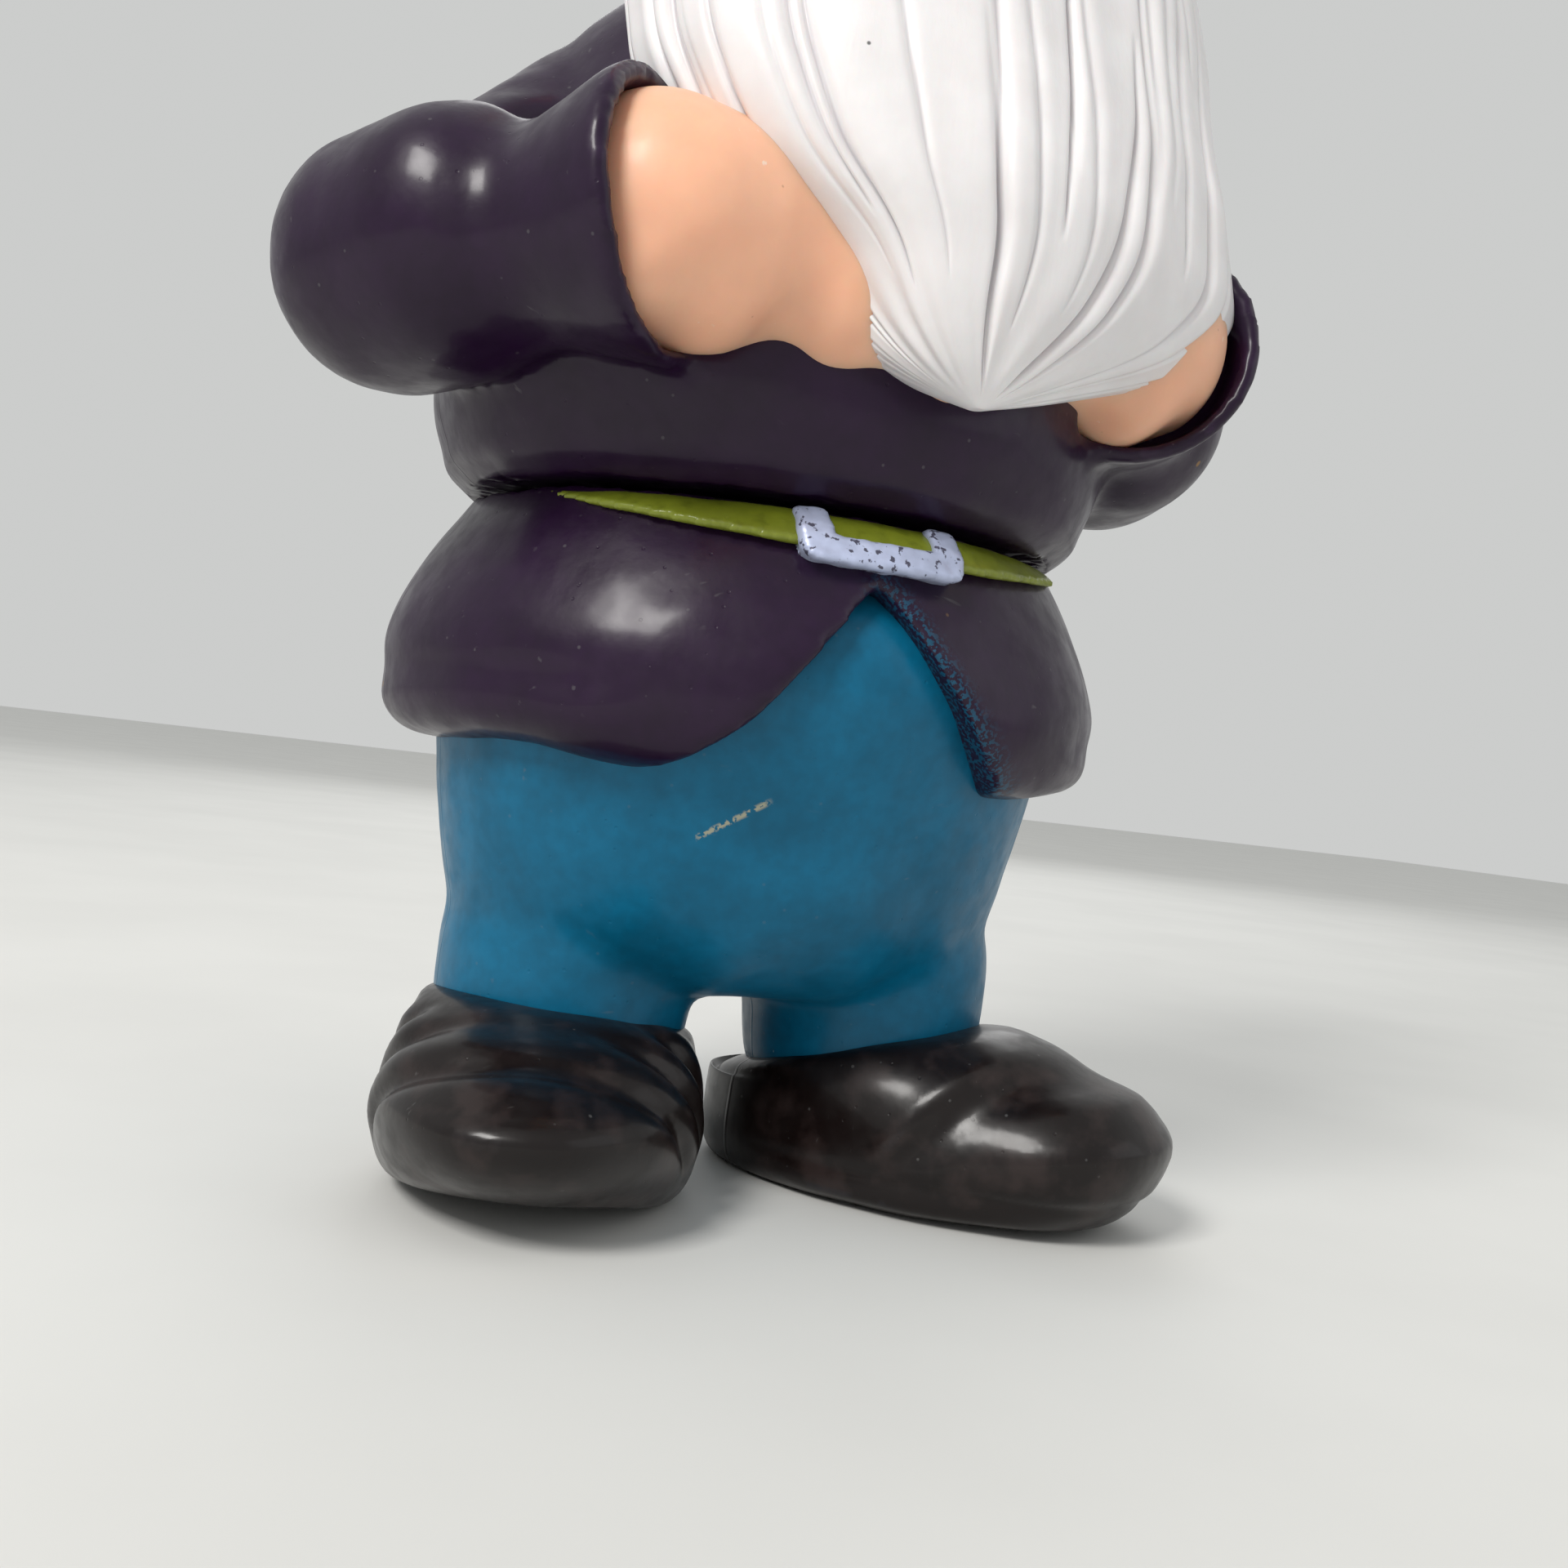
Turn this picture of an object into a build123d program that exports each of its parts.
"""Garden gnome: a hollow soft-vinyl figure in two halves that turn on each other at the waist.

Millimetres, +Z up, standing on its soles and facing -Y, with its own right hand at -X.
The origin is the middle of the figure's bounding box, at the soles.
"""

from build123d import *
import os

# ---- Driving dimensions ----
HEIGHT = 250.0  # soles to the tip of the cap
WALL = 2.5  # moulded wall
AXIS_X = 0.2  # where the waist axis stands from the origin
AXIS_Y = 4.95
WAIST = 77.5  # height at which the two halves meet
GAP = 0.5  # between the halves, so that they turn freely
UPPER_TURN = 8.0  # the upper half is turned this far to its own left, in degrees
SHOE_TOP = 22.0  # where the trouser legs enter the shoes
FEET = {  # each leg's middle along X, and its toe's turn to the figure's left in degrees
    "right_shoe": (-18.5, -21.0),
    "left_shoe": (21.0, 38.0),
}

# ---- Waist joint ----
DECK = 3.0  # thickness of the socket deck and of the torso's floor
PLUG_RADIUS = 16.0
PLUG_CLEARANCE = 0.05  # between the plug and the socket's bore
PLUG_PLAY = 0.4  # between the deck's underside and the snap bead
PLUG_BEAD = 1.6  # how far the snap bead stands out from the plug
FLANGE = 6.0  # how far the plug's flange reaches past it inside the torso

# ---- Belt, buckle and the skirt's front opening ----
BELT_DEPTH = 4.6  # how far the belt shows below the waist at the front
BELT_THICKNESS = 0.8
BELT_TILT = 16.0  # slope of the belt's lower edge up towards the sides, in degrees
BUCKLE_WIDTH = 18.0
BUCKLE_DROP = 6.6  # how far the buckle shows below the waist
BUCKLE_BAR = 3.0
BUCKLE_PROUD = 2.2  # how far the buckle stands out from the skirt
BUCKLE_CORNER = 2.0
OPENING_TOP = 69.5  # peak of the opening
OPENING_HALF = 24.0  # half its width at the hem
OPENING_RADIUS = 40.0  # of its curved edges

# ---- Helping sizes ----
LOWER_TOP = WAIST - GAP / 2
UPPER_BASE = WAIST + GAP / 2
SEAM = 0.25  # how far each length of a limb lies inside the balls it joins
BIG = 400.0  # side of a cutting block larger than the figure

# ---- Stacked ellipses: height, half width, half depth, shift along Y ----
HIPS = [
    (23.0, 30.0, 20.0, 0.0),
    (30.0, 33.5, 26.0, 0.0),
    (45.0, 36.0, 30.5, 0.0),
    (60.0, 34.0, 29.5, 0.0),
    (LOWER_TOP - DECK, 30.5, 26.0, 0.0),
]
LEG = [
    (SHOE_TOP, 15.3, 16.5, 0.0),
    (27.0, 15.0, 17.0, 0.0),
    (36.0, 14.0, 18.0, 0.0),
]
SHOE = [
    (0.0, 15.0, 20.5, -3.5),
    (3.0, 17.5, 26.0, -7.0),
    (9.0, 18.2, 30.0, -10.5),
    (15.0, 17.2, 26.0, -7.0),
    (SHOE_TOP, 15.3, 16.5, 0.0),
]
SKIRT = [
    (49.0, 37.0, 32.5, 0.0),
    (51.5, 41.5, 37.0, 0.0),
    (56.5, 43.8, 39.5, 0.0),
    (63.0, 42.5, 38.0, 0.0),
    (71.0, 38.5, 34.0, 0.0),
    (LOWER_TOP, 34.0, 30.0, 0.0),
]
TORSO = [
    (UPPER_BASE, 34.0, 30.5, 0.0),
    (80.5, 38.5, 34.5, 0.0),
    (86.5, 41.5, 37.5, 0.0),
    (97.0, 41.0, 37.0, 0.0),
    (112.0, 37.5, 32.5, 1.0),
    (128.0, 31.5, 25.5, 2.0),
    (140.0, 22.5, 19.0, 2.0),
]
BEARD = [
    (86.0, 3.0, 3.0, -40.0),
    (89.5, 10.5, 7.5, -37.0),
    (96.0, 20.5, 13.5, -32.5),
    (106.0, 29.5, 19.0, -27.5),
    (118.0, 33.5, 22.0, -24.0),
    (136.0, 34.0, 23.0, -20.0),
    (154.0, 32.0, 22.0, -16.0),
]
CAP = [
    (179.0, 32.0, 31.5, -3.5),
    (190.0, 31.0, 30.5, -2.5),
    (204.0, 25.0, 24.5, 0.0),
    (221.0, 16.0, 16.0, 3.0),
    (237.0, 8.5, 8.5, 6.5),
    (HEIGHT - 2.0, 4.0, 4.0, 8.5),
    (HEIGHT, 1.5, 1.5, 9.0),
]
BRIM = [
    (177.5, 32.5, 32.0, -3.8),
    (179.0, 34.8, 34.2, -3.8),
    (183.0, 35.8, 35.2, -3.7),
    (187.0, 34.6, 34.0, -3.2),
    (188.5, 32.0, 31.5, -2.8),
]

# ---- Arms, for the figure's left side: the middle and radius of each ball ----
SHOULDER = (27.0, 4.0, 122.5, 11.5)
ELBOW = (48.5, -7.5, 96.5, 13.5)
FOREARM_END = (40.5, -21.5, 98.0, 11.5)
CUFF_END = (32.5, -31.0, 100.0, 14.2)
HAND_START = (36.5, -26.5, 99.0, 9.3)
HAND_MIDDLE = (23.0, -35.5, 100.5, 11.0)
HAND_END = (7.0, -39.5, 94.5, 6.5)
LEFT_ARM_IN = 2.5  # the left arm is held this much closer to the body than the right
LEFT_ARM_UP = 2.5  # and this much higher

# ---- Head, for the figure's left side: eggs by their middle, radius and half length ----
HEAD_MIDDLE = (0.0, -4.0, 162.0)
HEAD_SIZE = (30.0, 33.0)
NOSE_MIDDLE = (0.0, -35.5, 163.0)
NOSE_SIZE = (6.8, 7.6)
NOSE_TILT = -0.25  # how far the nose leans forward, per unit of its height
EYE_MIDDLE = (10.5, -31.0, 168.5)
EYE_SIZE = (3.0, 3.6)
BROW_MIDDLE = (11.5, -30.6, 174.6)
BROW_SIZE = (2.2, 6.5)
BROW_BEND = 0.35  # how far each eyebrow turns back round the head, per unit of its length
EAR_MIDDLE = (30.0, -3.5, 163.0)
EAR_SIZE = (5.0, 8.5)
EAR_LEAN = 0.15  # how far each ear leans outwards, per unit of its height
HAIR_SIZE = (32.5, 36.0)
HAIRLINE = -6.0  # the hair covers the head behind this place along Y
NAPE = 143.0  # and above this height
MOUSTACHE = [(4.0, -35.5, 154.0, 5.0), (14.0, -33.5, 151.5, 5.0), (24.0, -26.5, 147.0, 2.5)]

lower = Plane((AXIS_X, AXIS_Y, 0))
upper = lower.rotated((0, 0, UPPER_TURN))


# ---- Shared forms ----
def upper_plane(point, facing=(0, 0, 1)):
    """A plane at a point of the upper half, looking along facing."""
    upright = facing == (0, 0, 1)
    return Plane(
        origin=upper.from_local_coords(Vector(*point)),
        x_dir=upper.x_dir if upright else None,
        z_dir=upper.from_local_coords(Vector(*facing)) - upper.origin,
    )


def stacked(plane, sections, inset=0.0):
    """A smooth solid through ellipses stacked along a plane's normal."""
    with BuildPart() as form:
        for height, half_width, half_depth, shift in sections:
            with BuildSketch(plane.offset(height)):
                with Locations((0, shift)):
                    Ellipse(half_width - inset, half_depth - inset)
        loft()
    return form.part


def cavity(plane, sections, inset, low=None, high=None):
    """The inside of a stacked form, carried past its ends or stopped at low and high."""
    first, last = sections[0], sections[-1]
    bottom = first[0] - 1.0 if low is None else low
    top = last[0] + 1.0 if high is None else high
    reach = [(first[0] - 2.0, *first[1:])] + sections + [(last[0] + 2.0, *last[1:])]
    with BuildPart() as form:
        add(stacked(plane, reach, inset))
        split(bisect_by=plane.offset(bottom), keep=Keep.TOP)
        split(bisect_by=plane.offset(top), keep=Keep.BOTTOM)
    return form.part


def egg(point, radius, half_length, along=(0, 0, 1)):
    """An egg at a point of the upper half, turned about its own length."""
    middle = upper_plane(point, along)
    with BuildPart() as form:
        with BuildSketch(Plane(middle.origin, x_dir=middle.x_dir, z_dir=-middle.y_dir)):
            Ellipse(radius, half_length)
            with Locations((-BIG / 2, 0)):
                Rectangle(BIG, BIG, mode=Mode.SUBTRACT)
        revolve(axis=Axis(middle.origin, middle.z_dir))
    return form.part


def limb(*balls, grow=0.0, far_end=0.0):
    """A round limb of the upper half through balls, each a middle and a radius.

    far_end carries the last length on past its ball, without rounding it.
    """
    with BuildPart() as form:
        for x, y, z, radius in balls[: -1 if far_end else None]:
            with Locations(upper_plane((x, y, z)).location):
                Sphere(radius + grow)
        for near, far in zip(balls, balls[1:]):
            run = Vector(*far[:3]) - Vector(*near[:3])
            reach = far_end if far is balls[-1] else 0.0
            with BuildSketch(upper_plane(near[:3], tuple(run))):
                Circle(near[3] + grow - SEAM)
            with BuildSketch(upper_plane(near[:3], tuple(run)).offset(run.length + reach)):
                Circle(far[3] + grow - SEAM)
            loft()
    return form.part


def mirrored(point, side):
    """A point given for the figure's left, on the side that is -1 for its right."""
    return (side * point[0], *point[1:])


def arm(balls, side):
    """The balls of one arm. The left arm is held a little higher and closer."""
    if side == -1:
        return [mirrored(ball, side) for ball in balls]
    return [(x - LEFT_ARM_IN, y, z + LEFT_ARM_UP, radius) for x, y, z, radius in balls]


def finish(name, piece):
    """Label a finished piece and write its file."""
    piece.part.label = name
    export_step(piece.part, f"parts/{name}.step")
    box = piece.part.bounding_box()
    print(f"{name:16} valid {piece.part.is_valid}  {piece.part.volume:9.0f} mm3  "
          f"x {box.min.X:6.1f} {box.max.X:6.1f}  y {box.min.Y:6.1f} {box.max.Y:6.1f}  "
          f"z {box.min.Z:6.1f} {box.max.Z:6.1f}  solids {len(piece.part.solids())}", flush=True)
    return piece.part


# ---- Lower half ----
def leg_plane(foot):
    """The ground plane under the middle of a leg."""
    middle, _ = FEET[foot]
    return Plane((AXIS_X + middle, AXIS_Y, 0))


def make_trousers():
    """Full hips and two short legs, hollow and open at the waist and the ankles."""
    with BuildPart() as trousers:
        add(stacked(lower, HIPS))
        for foot in FEET:
            add(stacked(leg_plane(foot), LEG))
        add(cavity(lower, HIPS, WALL, low=HIPS[0][0] + WALL), mode=Mode.SUBTRACT)
        for foot in FEET:
            add(cavity(leg_plane(foot), LEG, WALL, high=LEG[-1][0]), mode=Mode.SUBTRACT)
    return finish("trousers", trousers)


def make_shoe(name):
    """A round-toed shoe with a closed sole, hollow up into the leg."""
    _, turn = FEET[name]
    foot = leg_plane(name).rotated((0, 0, turn))
    with BuildPart() as shoe:
        add(stacked(foot, SHOE))
        add(cavity(foot, SHOE, WALL, low=WALL), mode=Mode.SUBTRACT)
    return finish(name, shoe)


def opening_form():
    """What the front of the skirt leaves open over the trousers, like the mouth of a bell."""
    hem = SKIRT[0][0]
    with BuildPart() as opening:
        with BuildSketch(Plane(lower.origin, x_dir=(1, 0, 0), z_dir=(0, -1, 0))):
            with BuildLine():
                RadiusArc((-OPENING_HALF, hem), (0, OPENING_TOP), -OPENING_RADIUS)
                RadiusArc((0, OPENING_TOP), (OPENING_HALF, hem), -OPENING_RADIUS)
                Polyline((OPENING_HALF, hem), (OPENING_HALF, 0), (-OPENING_HALF, 0), (-OPENING_HALF, hem))
            make_face()
        extrude(amount=BIG)
    return opening.part


def make_waist_socket():
    """The deck of the lower half, with the bore that the plug turns in."""
    with BuildPart() as waist_socket:
        with BuildSketch(lower.offset(LOWER_TOP - DECK)):
            Ellipse(*HIPS[-1][1:3])
            Circle(PLUG_RADIUS + PLUG_CLEARANCE, mode=Mode.SUBTRACT)
        extrude(amount=DECK)
    return finish("waist_socket", waist_socket)


def belt_form(proud, depth):
    """A strip round the front of the waist that dips by depth and runs out at the sides."""
    dip = Plane(lower.from_local_coords(Vector(0, -SKIRT[-1][2], LOWER_TOP - depth)))
    with BuildPart() as strip:
        add(stacked(lower, SKIRT, -proud))
        add(cavity(lower, SKIRT, WALL), mode=Mode.SUBTRACT)
        split(bisect_by=dip.rotated((BELT_TILT, 0, 0)), keep=Keep.TOP)
    return strip.part


def make_belt():
    """The strip of belt that shows at the front."""
    with BuildPart() as belt:
        add(belt_form(BELT_THICKNESS, BELT_DEPTH))
    return finish("belt", belt)


def make_belt_buckle(belt):
    """An open frame round the belt, cut off at the waist."""
    reach = 2 * SKIRT[-1][2]
    face = Plane(lower.from_local_coords(Vector(0, 0, LOWER_TOP)), x_dir=(1, 0, 0), z_dir=(0, -1, 0))
    with BuildPart() as belt_buckle:
        with BuildSketch(face):
            with Locations((0, -BUCKLE_DROP / 2)):
                Rectangle(BUCKLE_WIDTH, BUCKLE_DROP)
            with Locations((0, -(BUCKLE_DROP - BUCKLE_BAR) / 2)):
                Rectangle(BUCKLE_WIDTH - 2 * BUCKLE_BAR, BUCKLE_DROP - BUCKLE_BAR, mode=Mode.SUBTRACT)
        extrude(amount=reach)
        corners = belt_buckle.edges().filter_by(Axis.Y).group_by(Axis.Z)[0]
        fillet(corners, BUCKLE_CORNER)
        add(stacked(lower, SKIRT, -BUCKLE_PROUD), mode=Mode.INTERSECT)
        add(stacked(lower, SKIRT, WALL), mode=Mode.SUBTRACT)
        add(belt, mode=Mode.SUBTRACT)
    return finish("belt_buckle", belt_buckle)


def make_coat_skirt(*neighbours):
    """The puffed skirt of the coat round the hips, open at the front."""
    with BuildPart() as coat_skirt:
        add(stacked(lower, SKIRT))
        add(stacked(lower, HIPS), mode=Mode.SUBTRACT)
        add(opening_form(), mode=Mode.SUBTRACT)
        with BuildSketch(lower.offset(LOWER_TOP - DECK)):
            Ellipse(*HIPS[-1][1:3])
        extrude(amount=DECK, mode=Mode.SUBTRACT)
        for neighbour in neighbours:
            add(neighbour, mode=Mode.SUBTRACT)
    return finish("coat_skirt", coat_skirt)


# ---- Upper half ----
def make_waist_plug():
    """A flange fixed inside the torso, a stem through the deck and a snap bead under it."""
    bead_top = LOWER_TOP - DECK - PLUG_PLAY
    bore = PLUG_RADIUS - WALL
    outline = [
        (bore, UPPER_BASE + 2 * DECK),
        (PLUG_RADIUS + FLANGE, UPPER_BASE + 2 * DECK),
        (PLUG_RADIUS + FLANGE, UPPER_BASE + DECK),
        (PLUG_RADIUS, UPPER_BASE + DECK),
        (PLUG_RADIUS, bead_top),
        (PLUG_RADIUS + PLUG_BEAD, bead_top - PLUG_BEAD / 2),
        (PLUG_RADIUS + PLUG_BEAD, bead_top - PLUG_BEAD),
        (PLUG_RADIUS, bead_top - 3 * PLUG_BEAD),
        (bore, bead_top - 3 * PLUG_BEAD),
    ]
    with BuildPart() as waist_plug:
        with BuildSketch(Plane(lower.origin, x_dir=(1, 0, 0), z_dir=(0, -1, 0))):
            with BuildLine():
                Polyline(*outline, close=True)
            make_face()
        revolve(axis=Axis(lower.origin, (0, 0, 1)))
    return finish("waist_plug", waist_plug)


def make_coat_body():
    """The torso of the coat, with a bore in its floor for the plug."""
    with BuildPart() as coat_body:
        add(stacked(upper, TORSO))
        add(cavity(upper, TORSO, WALL, low=UPPER_BASE + DECK), mode=Mode.SUBTRACT)
        with Locations(upper.offset(UPPER_BASE).location):
            Cylinder(PLUG_RADIUS, 2 * DECK, mode=Mode.SUBTRACT)
    return finish("coat_body", coat_body)


def sleeve_form(side, grow=0.0, far_end=0.0):
    """A whole arm, bent across the body and flaring to its cuff."""
    return limb(*arm([SHOULDER, ELBOW, FOREARM_END, CUFF_END], side), grow=grow, far_end=far_end)


def make_sleeve(name, side, torso):
    """A hollow sleeve from the torso to its flat cuff."""
    with BuildPart() as sleeve:
        add(sleeve_form(side, far_end=0.01))
        add(sleeve_form(side, grow=-WALL, far_end=2.0), mode=Mode.SUBTRACT)
        add(torso, mode=Mode.SUBTRACT)
    return finish(name, sleeve)


def make_hand(name, side, torso, sleeve, beard):
    """A hand from inside its cuff to the middle of the body, where it meets the other."""
    with BuildPart() as hand:
        add(limb(*arm([HAND_START, HAND_MIDDLE, HAND_END], side)))
        add(torso, mode=Mode.SUBTRACT)
        add(sleeve, mode=Mode.SUBTRACT)
        add(beard, mode=Mode.SUBTRACT)
        split(bisect_by=Plane(upper.origin, z_dir=-side * upper.x_dir), keep=Keep.BOTTOM)
    return finish(name, hand)


def face_forms():
    """The eggs set into the head: nose, eyes, eyebrows and ears."""
    forms = {"nose": egg(NOSE_MIDDLE, *NOSE_SIZE, along=(0, NOSE_TILT, 1))}
    for name, side in (("right", -1), ("left", 1)):
        eye = mirrored(EYE_MIDDLE, side)
        brow = mirrored(BROW_MIDDLE, side)
        ear = mirrored(EAR_MIDDLE, side)
        forms[f"{name}_eye"] = egg(eye, *EYE_SIZE)
        forms[f"{name}_eyebrow"] = egg(brow, *BROW_SIZE, along=(1, side * BROW_BEND, 0))
        forms[f"{name}_ear"] = egg(ear, *EAR_SIZE, along=(side * EAR_LEAN, 0, 1))
    return forms


def make_head(torso, face):
    """A hollow egg with pockets for the pieces of the face."""
    with BuildPart() as head:
        add(egg(HEAD_MIDDLE, *HEAD_SIZE))
        add(egg(HEAD_MIDDLE, HEAD_SIZE[0] - WALL, HEAD_SIZE[1] - WALL), mode=Mode.SUBTRACT)
        add(torso, mode=Mode.SUBTRACT)
        for form in face.values():
            add(form, mode=Mode.SUBTRACT)
    return finish("head", head)


def hair_form():
    """The hair at the sides and back of the head, from under the cap to the nape."""
    with BuildPart() as hair:
        add(egg(HEAD_MIDDLE, *HAIR_SIZE))
        split(bisect_by=Plane(upper.from_local_coords(Vector(0, HAIRLINE, 0)), z_dir=upper.y_dir))
        split(bisect_by=upper.offset(NAPE))
    return hair.part


def make_beard(form):
    """A shell, open at the back where it lies on the torso and the head."""
    with BuildPart() as beard:
        add(form)
        add(stacked(upper, BEARD[2:-1], 2 * WALL), mode=Mode.SUBTRACT)
    return finish("beard", beard)


def make_cap(form, head):
    """A hollow cone over the top of the head."""
    with BuildPart() as cap:
        add(form)
        add(cavity(upper, CAP[:-2], WALL, high=CAP[-3][0]), mode=Mode.SUBTRACT)
        add(head, mode=Mode.SUBTRACT)
    return finish("cap", cap)


def moustache_form():
    """Both halves of the moustache as one limb."""
    right = [mirrored(ball, -1) for ball in reversed(MOUSTACHE)]
    return limb(*right, *MOUSTACHE)


def make_cut_from(name, form, *neighbours):
    """A piece that is a form less the pieces it meets."""
    with BuildPart() as piece:
        add(form)
        for neighbour in neighbours:
            add(neighbour, mode=Mode.SUBTRACT)
    return finish(name, piece)


os.makedirs("parts", exist_ok=True)

make_trousers()
for foot in FEET:
    make_shoe(foot)
make_waist_socket()
belt = make_belt()
buckle = make_belt_buckle(belt)
make_coat_skirt(belt, buckle)

torso_form = stacked(upper, TORSO)
head_form = egg(HEAD_MIDDLE, *HEAD_SIZE)
beard_form = stacked(upper, BEARD) - torso_form - head_form - sleeve_form(-1) - sleeve_form(1)
cap_form = stacked(upper, CAP)
face = face_forms()

make_waist_plug()
make_coat_body()
for name, side in (("right", -1), ("left", 1)):
    sleeve = make_sleeve(f"{name}_sleeve", side, torso_form)
    make_hand(f"{name}_hand", side, torso_form, sleeve, beard_form)
make_beard(beard_form)
make_head(torso_form, face)
for name, form in face.items():
    make_cut_from(name, form)
make_cut_from("moustache", moustache_form(), head_form, beard_form, face["nose"])
make_cap(cap_form, head_form)
brim = make_cut_from("cap_brim", stacked(upper, BRIM), head_form, cap_form)
ears = (face["right_ear"], face["left_ear"])
make_cut_from("hair", hair_form(), head_form, torso_form, beard_form, *ears, brim, cap_form)
